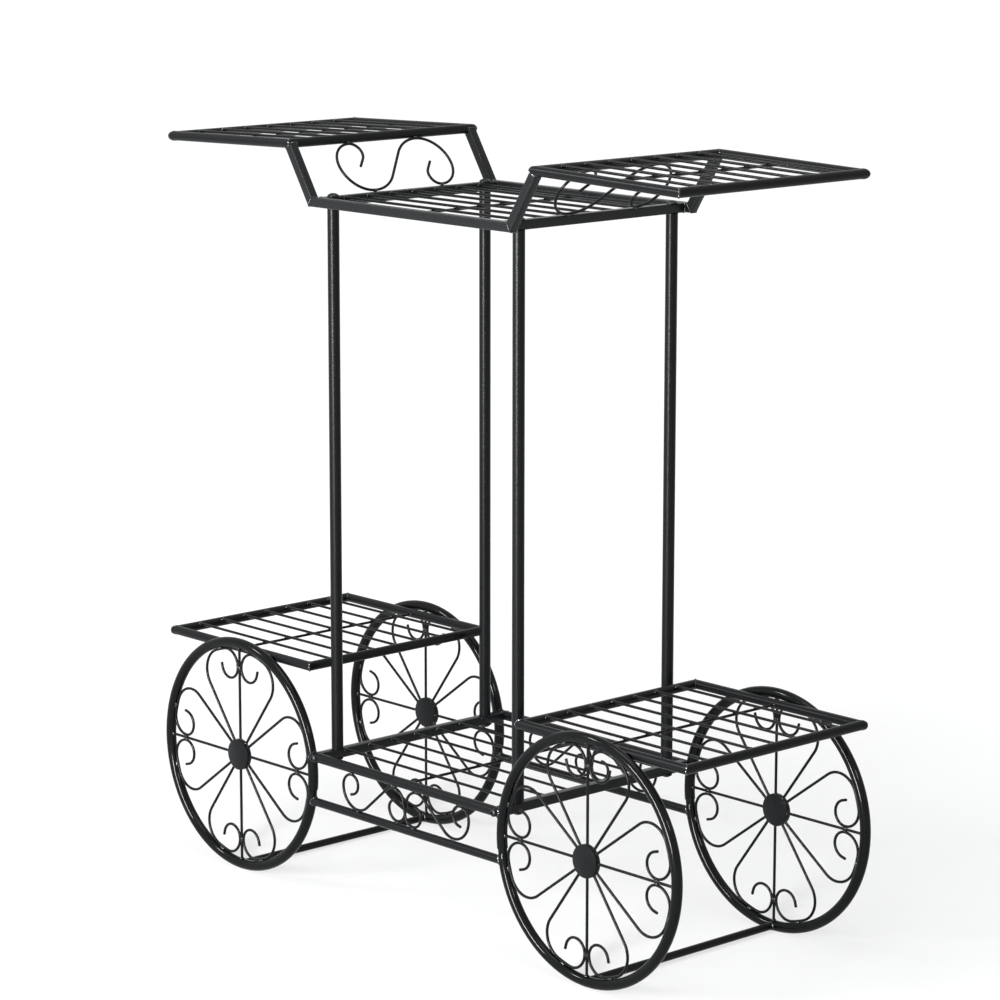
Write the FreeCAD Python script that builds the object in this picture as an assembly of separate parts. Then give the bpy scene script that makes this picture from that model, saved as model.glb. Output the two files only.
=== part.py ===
import FreeCAD, Part
import math
import os

os.makedirs("parts", exist_ok=True)

# A two-tier flower stand in the form of a small cart. X runs along its length,
# Y across it, Z up. The origin is on the floor, under the middle of the stand.

# Driving dimensions, in mm
overall_length = 800.0
overall_height = 802.0
wheel_diameter = 257.5

tube_wall = 1.0
rim_tube = 11.0
deck_tube = 10.0
square_tube = 10.0
square_corner = 1.5        # outer radius of a square tube's corners
post_tube = 12.5
tie_tube = 8.0
upper_rail_tube = 10.5
lower_rail_tube = 9.0
wire = 3.0

hub_diameter = 34.0
hub_thickness = 6.0
upper_rail_over_hub = 22.0
lower_rail_under_hub = 27.0
side_deck_under_rim_top = 13.5   # top of the rim to the centre of the side decks
side_deck_depth = 230.0          # along X, between rail centres
post_inside_hub = 130.25         # along X, from a wheel's hub to the posts
post_inside_rail = 18.8          # along Y, from the top deck's long rails to the posts
top_rail_overhang = 9.7          # from the posts to the corners of the top deck
top_deck_half_width = 124.8
rim_outside_rail = 9.2           # along Y, from the top deck's long rails to the centre of each rim
arm_spread = 36.3                # along X, from those corners to the wings
wing_rise = 57.5                 # from the top deck's rails to the wings' inner rails
wing_overhang = 1.7              # along Y, from the top deck's long rails to the wings'
wing_length = 193.2              # along the slope, between rail centres
wing_droop = 1.63                # degrees, falling away from the stand
deck_wire_count = 7
deck_wire_rise = 3.0             # from the centre of a deck's rails up to its wires

# Clearances
weld_gap = 0.05        # between round pieces that touch along their sides
drill_gap = 0.2        # all round a screw shank
rail_screw_clear = 5.0 # from the end of a rail screw to the post it points at
post_wire_gap = 0.75   # beside the outer wires of the middle deck
rail_bite = 3.0        # depth at which a deck wire is drawn into a round rail before it is coped
joint_slit = 0.6       # where the two ends of a rim tube meet
plug_gap = 0.1         # all round the plug inside that joint
butt_share = 0.6       # where a coped end stops, as a share of its neighbour's radius
hub_bite = 1.7         # depth at which a wire is drawn into the hub before it is coped
arm_end_short = 2.5    # from the end of an arm to the axis of the wing rail

# Petal wires of the wheels
petal_half_width = 57.0
petal_radius = 24.5
petal_shoulder_radius = 18.0
petal_curl_radius = 13.5
petal_curl_turn = 165.0
petal_tip = 5.0

# Scrolls between the rails of each side panel
scroll_hook_radius = 10.5
scroll_side_radius = 23.0
scroll_hook_x = 83.3
scroll_slope = 40.0
scroll_crown_radius = 16.0
scroll_drop_slope = 80.0
scroll_tail_radius = 12.5
scroll_tip_radius = 9.0
scroll_tip_turn = 100.0
scroll_hook_turn = 165.0
scroll_hook_tip = 4.0

# Scrolls under the wings
wing_scroll_crown_y = 44.0
wing_scroll_crown_radius = 42.0
wing_scroll_side_radius = 32.0
wing_scroll_curl_radius = 12.0
wing_scroll_curl_turn = 131.0
wing_scroll_tip = 12.0

# Screws
screw_head = 12.0
screw_head_height = 3.4
screw_head_edge = 1.0
screw_shank = 6.0
screw_length = 24.0
screw_key = 4.0            # across the flats of the socket
screw_key_depth = 1.8
rail_screw_head = 8.0
rail_screw_head_height = 2.8
rail_screw_shank = 5.0
rail_screw_key = 3.0

# Derived positions
wheel_radius = wheel_diameter / 2
wheel_plane_y = top_deck_half_width + rim_outside_rail
rim_radius = wheel_radius - rim_tube / 2
hub_z = wheel_radius
wheel_x = overall_length / 2 - wheel_radius
upper_rail_z = hub_z + upper_rail_over_hub
lower_rail_z = hub_z - lower_rail_under_hub
tie_z = hub_z - rim_radius
side_deck_z = wheel_diameter - side_deck_under_rim_top
side_deck_outer_x = overall_length / 2 - deck_tube / 2
side_deck_inner_x = side_deck_outer_x - side_deck_depth
side_deck_half_width = wheel_plane_y - (rim_tube + deck_tube) / 2 - weld_gap
wing_z = overall_height - deck_tube / 2
top_deck_z = wing_z - wing_rise
post_x = wheel_x - post_inside_hub
post_y = top_deck_half_width - post_inside_rail
rail_screw_length = wheel_plane_y + upper_rail_tube / 2 - post_y - post_tube / 2 - rail_screw_clear
wing_half_width = top_deck_half_width + wing_overhang
top_deck_half_length = post_x + top_rail_overhang
wing_inner_x = top_deck_half_length + arm_spread

vec = FreeCAD.Vector
along_x = vec(1, 0, 0)
along_y = vec(0, 1, 0)
along_z = vec(0, 0, 1)


def save(node, *solids):
    shape = solids[0] if len(solids) == 1 else Part.makeCompound(list(solids))
    shape.exportStep("parts/" + node + ".step")


def circle_wire(centre, axis, diameter):
    return Part.Wire(Part.makeCircle(diameter / 2, centre, axis))


# A square with round corners. Its hole, if it is smaller, keeps the same centres.
def square_wire(centre, axis, side):
    across = along_x if abs(axis.dot(along_y)) > 0.5 * axis.Length else along_y
    other = vec(axis).normalize().cross(across)
    centres = square_tube / 2 - square_corner
    radius = side / 2 - centres
    edges = []
    for quarter in range(4):
        a = across * math.cos(quarter * math.pi / 2) + other * math.sin(quarter * math.pi / 2)
        b = other * math.cos(quarter * math.pi / 2) - across * math.sin(quarter * math.pi / 2)
        turn = centre + (a + b) * centres
        after = centre + (b - a) * centres
        middle = turn + (a + b).normalize() * radius
        edges.append(Part.Arc(turn + a * radius, middle, turn + b * radius).toShape())
        edges.append(Part.makeLine(turn + b * radius, after + b * radius))
    return Part.Wire(edges)


# A straight bar of round or square section. With a wall it is a tube.
def bar(start, end, size, wall=0.0, square=False):
    outline = square_wire if square else circle_wire
    axis = end - start
    rings = [outline(start, axis, size)]
    if wall:
        rings.append(outline(start, axis, size - 2 * wall))
    return Part.makeFace(rings, "Part::FaceMakerBullseye").extrude(axis)


# Takes away what lies past a plane, near the point where the plane is given.
def trimmed(shape, point, outward, reach):
    block = Part.makeBox(reach, reach, reach, vec(-reach / 2, -reach / 2, 0))
    block.Placement = FreeCAD.Placement(point, FreeCAD.Rotation(along_z, outward))
    return shape.cut(block)


# Bars that follow a line of corners and meet in mitres. A loop closes on itself.
def mitred_bars(corners, loop, size, wall=0.0, square=False):
    sides = []
    count = len(corners)
    last = count if loop else count - 1
    reach = 4 * size
    for i in range(last):
        start = corners[i]
        end = corners[(i + 1) % count]
        run = (end - start).normalize()
        mitre_start = loop or i > 0
        mitre_end = loop or i < last - 1
        first = start - run * size if mitre_start else start
        final = end + run * size if mitre_end else end
        side = bar(first, final, size, wall, square)
        if mitre_start:
            before = (start - corners[i - 1]).normalize()
            side = trimmed(side, start, (run + before) * -1, reach)
        if mitre_end:
            after = (corners[(i + 2) % count] - end).normalize()
            side = trimmed(side, end, run + after, reach)
        sides.append(side)
    return sides


def coped(shape, neighbours):
    return shape.cut(neighbours)


# A bent wire. Each move is a radius and a turn in degrees, plus to the left, or
# a radius of 0 and a length. The place function puts the flat drawing in space.
def bent_wire(start, heading, moves, place):
    edges = []
    u, v = start
    angle = math.radians(heading)
    facing = place(u + math.cos(angle), v + math.sin(angle)) - place(u, v)
    section = circle_wire(place(u, v), facing, wire)
    for radius, amount in moves:
        if radius == 0:
            far = (u + amount * math.cos(angle), v + amount * math.sin(angle))
            edges.append(Part.makeLine(place(u, v), place(*far)))
        else:
            side = math.copysign(1, amount)
            turn = math.radians(amount)
            cu = u - side * radius * math.sin(angle)
            cv = v + side * radius * math.cos(angle)
            stops = [(u, v)]
            for part in (0.5, 1.0):
                bearing = angle + turn * part
                stops.append((cu + side * radius * math.sin(bearing),
                              cv - side * radius * math.cos(bearing)))
            far = stops[-1]
            edges.append(Part.Arc(*[place(*stop) for stop in stops]).toShape())
            angle += turn
        u, v = far
    return Part.Wire(edges).makePipeShell([section], True, False)


def half_turn(shape):
    turned = shape.copy()
    turned.rotate(vec(0, 0, 0), along_z, 180)
    return turned


def mirrored(shape, normal):
    return shape.mirror(vec(0, 0, 0), normal)


# A button-head screw with its head upwards and the underside of the head at 0
def screw(head, height, shank, length, key, seat=0.0):
    rise = height - screw_head_edge
    cap_radius = ((head / 2) ** 2 + rise ** 2) / (2 * rise)
    cap = Part.makeSphere(cap_radius, vec(0, 0, height - cap_radius))
    solid = Part.makeCylinder(head / 2, height + seat, vec(0, 0, -seat)).common(cap)
    if seat:
        solid = Part.makeCylinder(head / 2, screw_head_edge + seat, vec(0, 0, -seat)).fuse(solid)
    solid = solid.fuse(Part.makeCylinder(shank / 2, length, vec(0, 0, -length)))
    socket_radius = key / math.sqrt(3)
    corners = []
    for k in range(7):
        bearing = math.radians(60 * k)
        corners.append(vec(socket_radius * math.cos(bearing), socket_radius * math.sin(bearing),
                           height - screw_key_depth))
    socket = Part.Face(Part.makePolygon(corners)).extrude(along_z * height)
    return solid.cut(socket).removeSplitter()


def placed(shape, point, up):
    moved = shape.copy()
    moved.Placement = FreeCAD.Placement(point, FreeCAD.Rotation(along_z, up))
    return moved


# ---- wheels ----

# One wheel is drawn about its hub. Its outer side faces -Y and the joint of its
# rim is on the +X side, which faces the middle of the stand.
joint_angle = -6.5
slit_angle = math.degrees(joint_slit / rim_radius)
plug_angle = 8.0


def rim_ring(diameter, bore, start_angle, sweep):
    rings = [circle_wire(vec(rim_radius, 0, 0), along_z, diameter)]
    if bore:
        rings.append(circle_wire(vec(rim_radius, 0, 0), along_z, bore))
    face = Part.makeFace(rings, "Part::FaceMakerBullseye")
    face.rotate(vec(0, 0, 0), along_y, -start_angle)
    return face.revolve(vec(0, 0, 0), along_y * -1, sweep)


rim_envelope = Part.makeTorus(rim_radius, rim_tube / 2, vec(0, 0, 0), along_y)
rim_bore = rim_tube - 2 * tube_wall
rim = rim_ring(rim_tube, rim_bore, joint_angle + slit_angle / 2, 360 - slit_angle)
rim_plug = rim_ring(rim_bore - 2 * plug_gap, 0, joint_angle - plug_angle / 2, plug_angle)

hub = Part.makeCylinder(hub_diameter / 2, hub_thickness, vec(0, wire / 2, 0), along_y * -1)

spoke_start = hub_diameter / 2 - hub_bite
spoke_end = rim_radius - butt_share * rim_tube / 2
spoke = bar(vec(spoke_start, 0, 0), vec(spoke_end, 0, 0), wire)
spoke = coped(spoke, [hub, rim_envelope])

# The petal: out from the hub, round the bulge, along the inside of the rim, over
# the shoulder to the spoke and into a curl
hug_radius = rim_radius - rim_tube / 2 - wire / 2 - weld_gap
bulge_distance = hug_radius - petal_radius
bulge_angle = math.asin((petal_half_width - petal_radius) / bulge_distance)
launch_angle = bulge_angle + math.asin(petal_radius / bulge_distance)
shoulder_distance = hug_radius - petal_shoulder_radius
spoke_side = wire + weld_gap
shoulder_angle = math.asin((spoke_side + petal_shoulder_radius) / shoulder_distance)
launch_length = math.sqrt(bulge_distance ** 2 - petal_radius ** 2) - spoke_start
petal_moves = [
    (0, launch_length),
    (petal_radius, math.degrees(bulge_angle - launch_angle) - 90),
    (hug_radius, math.degrees(shoulder_angle - bulge_angle)),
    (petal_shoulder_radius, -90 - math.degrees(shoulder_angle)),
    (petal_curl_radius, -petal_curl_turn),
    (0, petal_tip),
]
petal_start = (spoke_start * math.cos(launch_angle), spoke_start * math.sin(launch_angle))
petal = bent_wire(petal_start, math.degrees(launch_angle), petal_moves, lambda r, s: vec(r, 0, s))
petal = coped(petal, [hub])
petal_pair = [petal, petal.mirror(vec(0, 0, 0), along_z)]

spokes = []
petals = []
for quarter in range(4):
    for group, pieces in ((spokes, [spoke]), (petals, petal_pair)):
        for piece in pieces:
            turned = piece.copy()
            turned.rotate(vec(0, 0, 0), along_y, 90 * quarter)
            group.append(turned)

rim_envelopes = []
for depth, side_y in (("front", -1), ("back", 1)):
    for side, side_x in (("left", -1), ("right", 1)):
        pieces = {"rim": [rim, rim_plug], "hub": [hub], "spokes": spokes, "petals": petals}
        centre = vec(side_x * wheel_x, side_y * wheel_plane_y, hub_z)
        for name, shapes in pieces.items():
            local = list(shapes)
            if side_x > 0:
                local = [mirrored(shape, along_x) for shape in local]
            if side_y > 0:
                local = [mirrored(shape, along_y) for shape in local]
            save(name + "_" + depth + "_" + side, *[shape.translated(centre) for shape in local])
        rim_envelopes.append(rim_envelope.translated(centre))


# ---- side panels: rails, scrolls and tie bars ----

def rail_reach(height):
    return wheel_x - math.sqrt(rim_radius ** 2 - height ** 2) - butt_share * rim_tube / 2


def panel_rail(side_y, over_hub, size, wall):
    reach = rail_reach(over_hub)
    y = side_y * wheel_plane_y
    return bar(vec(-reach, y, hub_z + over_hub), vec(reach, y, hub_z + over_hub), size, wall)


upper_rail_bars = [panel_rail(side_y, upper_rail_over_hub, upper_rail_tube, 0) for side_y in (-1, 1)]
drill = rail_screw_shank + 2 * drill_gap
scroll_bottom = lower_rail_z + (lower_rail_tube + wire) / 2 + weld_gap
scroll_top = upper_rail_z - (upper_rail_tube + wire) / 2 - weld_gap
scroll_height = scroll_top - scroll_bottom
hook_top_radius = scroll_height - scroll_side_radius
hook_tangent = math.radians(180 - scroll_hook_turn)
hook_start_x = -scroll_hook_x + scroll_hook_radius * math.sin(hook_tangent)
hook_start_z = scroll_top - scroll_hook_radius * (1 + math.cos(hook_tangent))
hook_start = (hook_start_x - scroll_hook_tip * math.cos(hook_tangent),
              hook_start_z - scroll_hook_tip * math.sin(hook_tangent))
slope = math.radians(scroll_slope)
drop = math.radians(scroll_drop_slope)
climb_height = scroll_height - (scroll_side_radius + scroll_crown_radius) * (1 - math.cos(slope))
drop_height = scroll_height - (scroll_crown_radius + scroll_tail_radius) * (1 - math.cos(drop))
scroll_moves = [
    (0, scroll_hook_tip),
    (scroll_hook_radius, scroll_hook_turn),
    (hook_top_radius, 90),
    (scroll_side_radius, 90 + scroll_slope),
    (0, climb_height / math.sin(slope)),
    (scroll_crown_radius, -scroll_slope - scroll_drop_slope),
    (0, drop_height / math.sin(drop)),
    (scroll_tail_radius, scroll_drop_slope + 90),
    (scroll_tip_radius, scroll_tip_turn),
]
scroll_offset = (wire + weld_gap) / 2

for depth, side_y in (("front", -1), ("back", 1)):
    upper = panel_rail(side_y, upper_rail_over_hub, upper_rail_tube, tube_wall)
    holes = []
    for side_x in (-1, 1):
        hole_start = vec(side_x * post_x, side_y * wheel_plane_y - upper_rail_tube, upper_rail_z)
        holes.append(Part.makeCylinder(drill / 2, 2 * upper_rail_tube, hole_start, along_y))
    save("upper_rail_" + depth, coped(upper, rim_envelopes + holes))
    lower = panel_rail(side_y, -lower_rail_under_hub, lower_rail_tube, tube_wall)
    save("lower_rail_" + depth, coped(lower, rim_envelopes))
    near_y = side_y * wheel_plane_y - scroll_offset
    far_y = side_y * wheel_plane_y + scroll_offset
    heading = math.degrees(hook_tangent)
    near = bent_wire(hook_start, heading, scroll_moves, lambda x, z: vec(x, near_y, z))
    far = bent_wire(hook_start, heading, scroll_moves, lambda x, z: vec(x, far_y, z))
    save("scrolls_" + depth, near, mirrored(far, along_x))

for side, side_x in (("left", -1), ("right", 1)):
    end_y = wheel_plane_y - butt_share * rim_tube / 2
    x = side_x * wheel_x
    tie = bar(vec(x, -end_y, tie_z), vec(x, end_y, tie_z), tie_tube, tube_wall)
    save("tie_bar_" + side, coped(tie, rim_envelopes))


# ---- decks ----

# Wires along X from rail to rail
def deck_wire_set(start_x, end_x, height, pitch):
    reach = (deck_wire_count - 1) // 2
    lines = range(-reach, reach + 1)
    return [bar(vec(start_x, k * pitch, height), vec(end_x, k * pitch, height), wire) for k in lines]


# A round-tube deck, drawn level, with its inner rail at x = 0 and rail centres at z = 0
def round_deck(length, half_width):
    corners = [vec(0, -half_width, 0), vec(length, -half_width, 0),
               vec(length, half_width, 0), vec(0, half_width, 0)]
    sides = mitred_bars(corners, True, deck_tube, tube_wall)
    envelope = mitred_bars(corners, True, deck_tube)
    start = deck_tube / 2 - rail_bite
    pitch = 2 * half_width / (deck_wire_count + 1)
    wires = [coped(line, envelope) for line in deck_wire_set(start, length - start, deck_wire_rise, pitch)]
    cross_z = deck_wire_rise - wire - weld_gap
    cross_y = half_width - butt_share * deck_tube / 2
    cross = bar(vec(length / 2, -cross_y, cross_z), vec(length / 2, cross_y, cross_z), wire)
    return {"frame": sides, "wires": wires, "cross_wire": [coped(cross, envelope)], "envelope": envelope}


def set_down(shapes, inner_x, height, droop):
    place = FreeCAD.Placement(vec(inner_x, 0, height), FreeCAD.Rotation(along_y, droop))
    moved = []
    for shape in shapes:
        copy = shape.copy()
        copy.Placement = place.multiply(copy.Placement)
        moved.append(copy)
    return moved


side_deck = round_deck(side_deck_depth, side_deck_half_width)
wing = round_deck(wing_length, wing_half_width)
for name in ("frame", "wires", "cross_wire"):
    right = set_down(side_deck[name], side_deck_inner_x, side_deck_z, 0)
    save("side_deck_" + name + "_right", *right)
    save("side_deck_" + name + "_left", *[half_turn(shape) for shape in right])
    right = set_down(wing[name], wing_inner_x, wing_z, wing_droop)
    save("wing_" + name + "_right", *right)
    save("wing_" + name + "_left", *[half_turn(shape) for shape in right])
wing_envelope = set_down(wing["envelope"], wing_inner_x, wing_z, wing_droop)

# The middle deck hangs between two square rails that run between the side panels
post_screw_drill = screw_shank + 2 * drill_gap


def post_holes(side_x, height):
    holes = []
    for side_y in (-1, 1):
        start = vec(side_x * post_x, side_y * post_y, height - square_tube)
        holes.append(Part.makeCylinder(post_screw_drill / 2, 2 * square_tube, start))
    return holes


middle_reach = wheel_plane_y - butt_share * upper_rail_tube / 2
for side, side_x in (("left", -1), ("right", 1)):
    start = vec(side_x * post_x, -middle_reach, upper_rail_z)
    end = vec(side_x * post_x, middle_reach, upper_rail_z)
    rail = bar(start, end, square_tube, tube_wall, square=True)
    cuts = upper_rail_bars + rim_envelopes + post_holes(side_x, upper_rail_z)
    save("middle_rail_" + side, coped(rail, cuts))

middle_pitch = (post_y - post_tube / 2 - wire / 2 - post_wire_gap) / ((deck_wire_count - 1) / 2)
middle_wire_z = upper_rail_z + deck_wire_rise
wire_reach = post_x - square_tube / 2
middle_wires = deck_wire_set(-wire_reach, wire_reach, middle_wire_z, middle_pitch)
save("middle_wires", *middle_wires)
middle_cross_z = middle_wire_z - wire - weld_gap
middle_cross = bar(vec(0, -middle_reach, middle_cross_z), vec(0, middle_reach, middle_cross_z), wire)
save("middle_cross_wire", coped(middle_cross, upper_rail_bars))

# The top deck: square rails, with arms that carry the wings
arm_lean = vec(wing_inner_x - top_deck_half_length, 0, wing_z - top_deck_z)
arm_run = vec(arm_lean).normalize()
arm_stop = arm_lean - arm_run * arm_end_short
for depth, side_y in (("front", -1), ("back", 1)):
    y = side_y * top_deck_half_width
    right_corner = vec(top_deck_half_length, y, top_deck_z)
    left_corner = vec(-top_deck_half_length, y, top_deck_z)
    right_tip = right_corner + arm_stop
    left_tip = left_corner + vec(-arm_stop.x, 0, arm_stop.z)
    line = [left_tip, left_corner, right_corner, right_tip]
    left_arm, rail, right_arm = mitred_bars(line, False, square_tube, tube_wall, square=True)
    save("top_rail_" + depth, rail)
    save("arm_" + depth + "_right", coped(right_arm, wing_envelope))
    save("arm_" + depth + "_left", coped(left_arm, [half_turn(shape) for shape in wing_envelope]))

top_reach = top_deck_half_width - square_tube / 2
for side, side_x in (("left", -1), ("right", 1)):
    start = vec(side_x * post_x, -top_reach, top_deck_z)
    end = vec(side_x * post_x, top_reach, top_deck_z)
    rail = bar(start, end, square_tube, tube_wall, square=True)
    save("top_side_rail_" + side, coped(rail, post_holes(side_x, top_deck_z)))

top_wire_z = top_deck_z + deck_wire_rise
top_pitch = 2 * top_deck_half_width / (deck_wire_count + 1)
save("top_wires", *deck_wire_set(-wire_reach, wire_reach, top_wire_z, top_pitch))
top_cross_z = top_wire_z - wire - weld_gap
save("top_cross_wire", bar(vec(0, -top_reach, top_cross_z), vec(0, top_reach, top_cross_z), wire))


# ---- posts, scrolls under the wings and screws ----

post_foot = upper_rail_z + square_tube / 2
post_head = top_deck_z - square_tube / 2
for depth, side_y in (("front", -1), ("back", 1)):
    for side, side_x in (("left", -1), ("right", 1)):
        foot = vec(side_x * post_x, side_y * post_y, post_foot)
        head = vec(side_x * post_x, side_y * post_y, post_head)
        save("post_" + depth + "_" + side, bar(foot, head, post_tube, tube_wall))

# The scroll stands on the top side rail and reaches the wing's inner rail
scroll_foot = vec(post_x, 0, top_deck_z)
rise = vec(wing_inner_x, 0, wing_z) - scroll_foot
lean = vec(rise).normalize()
corner_offset = square_tube / 2
foot_distance = (corner_offset + wire / 2 + weld_gap) / lean.z
head_distance = rise.Length - (deck_tube + wire) / 2 - weld_gap
half_height = (head_distance - foot_distance) / 2
middle_distance = (head_distance + foot_distance) / 2
crown_below = wing_scroll_crown_radius - half_height
reach = math.hypot(wing_scroll_crown_y, crown_below)
climb = math.asin(wing_scroll_crown_radius / reach) - math.atan2(crown_below, wing_scroll_crown_y)
climb_length = math.sqrt(reach ** 2 - wing_scroll_crown_radius ** 2)
half_scroll = [
    (wing_scroll_crown_radius, -math.degrees(climb)),
    (wing_scroll_side_radius, -90),
    (2 * half_height - wing_scroll_side_radius, -90),
    (wing_scroll_curl_radius, -wing_scroll_curl_turn),
    (0, wing_scroll_tip),
]


def on_slope(y, t):
    return scroll_foot + along_y * y + lean * (middle_distance + t)


# The whole S is bent from one end. The first half runs the other way round.
def path_end(start, heading, moves):
    u, v = start
    angle = math.radians(heading)
    for radius, amount in moves:
        if radius == 0:
            u += amount * math.cos(angle)
            v += amount * math.sin(angle)
        else:
            side = math.copysign(1, amount)
            turned = angle + math.radians(amount)
            u += side * radius * (math.sin(turned) - math.sin(angle))
            v += side * radius * (math.cos(angle) - math.cos(turned))
            angle = turned
    return (u, v), math.degrees(angle)


outer_half = [(0, climb_length)] + half_scroll
tip, tip_heading = path_end((0, 0), math.degrees(climb), outer_half)
first_half = [(radius, -amount if radius else amount) for radius, amount in reversed(half_scroll)]
whole = first_half + [(0, 2 * climb_length)] + half_scroll
wing_scroll = bent_wire((-tip[0], -tip[1]), tip_heading, whole, on_slope)
save("wing_scroll_right", wing_scroll)
save("wing_scroll_left", mirrored(wing_scroll, along_x))

post_screw = screw(screw_head, screw_head_height, screw_shank, screw_length, screw_key)
top_screws = []
foot_screws = []
rail_screws = []
rail_seat = upper_rail_tube / 2 - math.sqrt(upper_rail_tube ** 2 - rail_screw_head ** 2) / 2 + weld_gap
rail_screw = screw(rail_screw_head, rail_screw_head_height, rail_screw_shank, rail_screw_length,
                   rail_screw_key, rail_seat)
for side_y in (-1, 1):
    for side_x in (-1, 1):
        x = side_x * post_x
        y = side_y * post_y
        top_screws.append(placed(post_screw, vec(x, y, top_deck_z + square_tube / 2), along_z))
        foot_screws.append(placed(post_screw, vec(x, y, upper_rail_z - square_tube / 2), along_z * -1))
        bearing = vec(x, side_y * (wheel_plane_y + upper_rail_tube / 2), upper_rail_z)
        saddle = panel_rail(side_y, upper_rail_over_hub, upper_rail_tube, 0)
        through = vec(x, side_y * wheel_plane_y - upper_rail_tube, upper_rail_z)
        shank_path = Part.makeCylinder(rail_screw_shank / 2, 2 * upper_rail_tube, through, along_y)
        rail_screws.append(placed(rail_screw, bearing, along_y * side_y).cut(saddle.cut(shank_path)))
save("top_screws", *top_screws)
save("foot_screws", *foot_screws)
save("rail_screws", *rail_screws)
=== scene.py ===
import math
import bmesh
import bpy
from mathutils import Matrix, Vector


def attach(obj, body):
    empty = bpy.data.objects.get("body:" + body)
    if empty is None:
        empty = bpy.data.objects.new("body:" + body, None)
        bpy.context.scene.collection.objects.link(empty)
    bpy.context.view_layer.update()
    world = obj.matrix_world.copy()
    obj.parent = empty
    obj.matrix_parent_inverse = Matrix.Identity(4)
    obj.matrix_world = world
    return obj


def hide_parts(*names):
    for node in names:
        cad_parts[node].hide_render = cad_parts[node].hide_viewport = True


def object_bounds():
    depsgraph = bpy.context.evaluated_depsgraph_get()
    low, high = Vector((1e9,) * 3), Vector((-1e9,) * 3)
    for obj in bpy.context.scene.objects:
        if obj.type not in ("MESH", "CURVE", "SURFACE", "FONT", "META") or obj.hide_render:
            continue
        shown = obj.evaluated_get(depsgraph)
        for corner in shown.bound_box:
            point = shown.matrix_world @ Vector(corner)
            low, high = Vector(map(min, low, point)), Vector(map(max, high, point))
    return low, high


# A black flower stand in the form of a small cart. X is its length, Y its depth,
# Z up, in metres. Sizes in the dictionaries below are in millimetres and angles in
# degrees, where nothing else is said.
mm = 0.001
sides = (("left", -1), ("right", 1))
depths = (("front", -1), ("back", 1))

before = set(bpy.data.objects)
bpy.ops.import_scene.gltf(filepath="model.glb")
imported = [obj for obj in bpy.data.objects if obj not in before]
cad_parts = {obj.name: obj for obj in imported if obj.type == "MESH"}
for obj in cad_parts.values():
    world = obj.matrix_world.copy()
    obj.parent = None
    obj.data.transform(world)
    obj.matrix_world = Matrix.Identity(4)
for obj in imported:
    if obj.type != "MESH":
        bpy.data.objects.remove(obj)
cadLow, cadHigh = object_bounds()
print("frame loaded,", len(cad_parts), "nodes")


def hexToLinear(code):
    parts = [int(code[i:i + 2], 16) / 255 for i in (1, 3, 5)]
    return tuple(c / 12.92 if c <= 0.04045 else ((c + 0.055) / 1.055) ** 2.4 for c in parts) + (1.0,)


# Adds one node. Values and links go to its inputs by name or number.
def addNode(tree, kind, inputs=None, **settings):
    node = tree.nodes.new(kind)
    for key, value in settings.items():
        setattr(node, key, value)
    for key, value in (inputs or {}).items():
        if isinstance(value, bpy.types.NodeSocket):
            tree.links.new(value, node.inputs[key])
        else:
            node.inputs[key].default_value = value
    return node


# One step of arithmetic on sockets or numbers
def compute(tree, operation, *terms):
    return addNode(tree, "ShaderNodeMath", dict(enumerate(terms)), operation=operation).outputs[0]


# A new material with an empty tree, and the object coordinates for it
def startMaterial(name):
    material = bpy.data.materials.new(name)
    material.use_nodes = True
    tree = material.node_tree
    tree.nodes.clear()
    return material, tree, addNode(tree, "ShaderNodeTexCoord").outputs["Object"]


def noise(tree, place, size, detail):
    inputs = {"Vector": place, "Scale": 1 / (size * mm), "Detail": detail}
    return addNode(tree, "ShaderNodeTexNoise", inputs).outputs["Fac"]


powderSizes = {
    "patch": 60.0,           # where the film is a little thicker and greyer
    "patchDetail": 2.0,
    "nib": 0.7,              # dust nibs and pores caught in the film
    "nibDetail": 3.0,
    "nibLow": 0.3,           # the part of the noise that changes the gloss
    "nibHigh": 0.7,
    "smoother": 0.05,        # how far the roughness goes under and over its mean
    "rougher": 0.07,
    "bumpStrength": 0.6,
    "refraction": 1.5,
    "clearRoughness": 0.09,
}


# Black polyester powder coat, sprayed on steel and baked. It flows out nearly
# smooth, so it gives broad soft highlights with a fine orange peel in them.
def powderCoat(name, dark, light, roughness, peelSize, peelDepth, shine, coat):
    material, tree, place = startMaterial(name)
    patches = noise(tree, place, powderSizes["patch"], powderSizes["patchDetail"])
    colour = addNode(tree, "ShaderNodeMix", {"Factor": patches}, data_type="RGBA")
    # the Mix node's colour sockets are found by type, because their names repeat
    for socket, value in zip([s for s in colour.inputs if s.type == "RGBA"], (dark, light)):
        socket.default_value = hexToLinear(value)
    mixed = [s for s in colour.outputs if s.type == "RGBA"][0]
    # orange peel: soft bumps some 1 to 3 mm across
    peel = noise(tree, place, peelSize, 1.0)
    grit = noise(tree, place, powderSizes["nib"], powderSizes["nibDetail"])
    gloss = addNode(tree, "ShaderNodeMapRange", {
        "Value": grit, "From Min": powderSizes["nibLow"], "From Max": powderSizes["nibHigh"],
        "To Min": roughness - powderSizes["smoother"], "To Max": roughness + powderSizes["rougher"]})
    bump = addNode(tree, "ShaderNodeBump", {
        "Height": compute(tree, "ADD", peel, grit), "Strength": powderSizes["bumpStrength"],
        "Distance": peelDepth * mm})
    shader = addNode(tree, "ShaderNodeBsdfPrincipled", {
        "Base Color": mixed, "Roughness": gloss.outputs["Result"], "Normal": bump.outputs["Normal"],
        "IOR": powderSizes["refraction"], "Specular IOR Level": shine, "Coat Weight": coat,
        "Coat Roughness": powderSizes["clearRoughness"]})
    addNode(tree, "ShaderNodeOutputMaterial", {"Surface": shader.outputs["BSDF"]})
    return material


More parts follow.
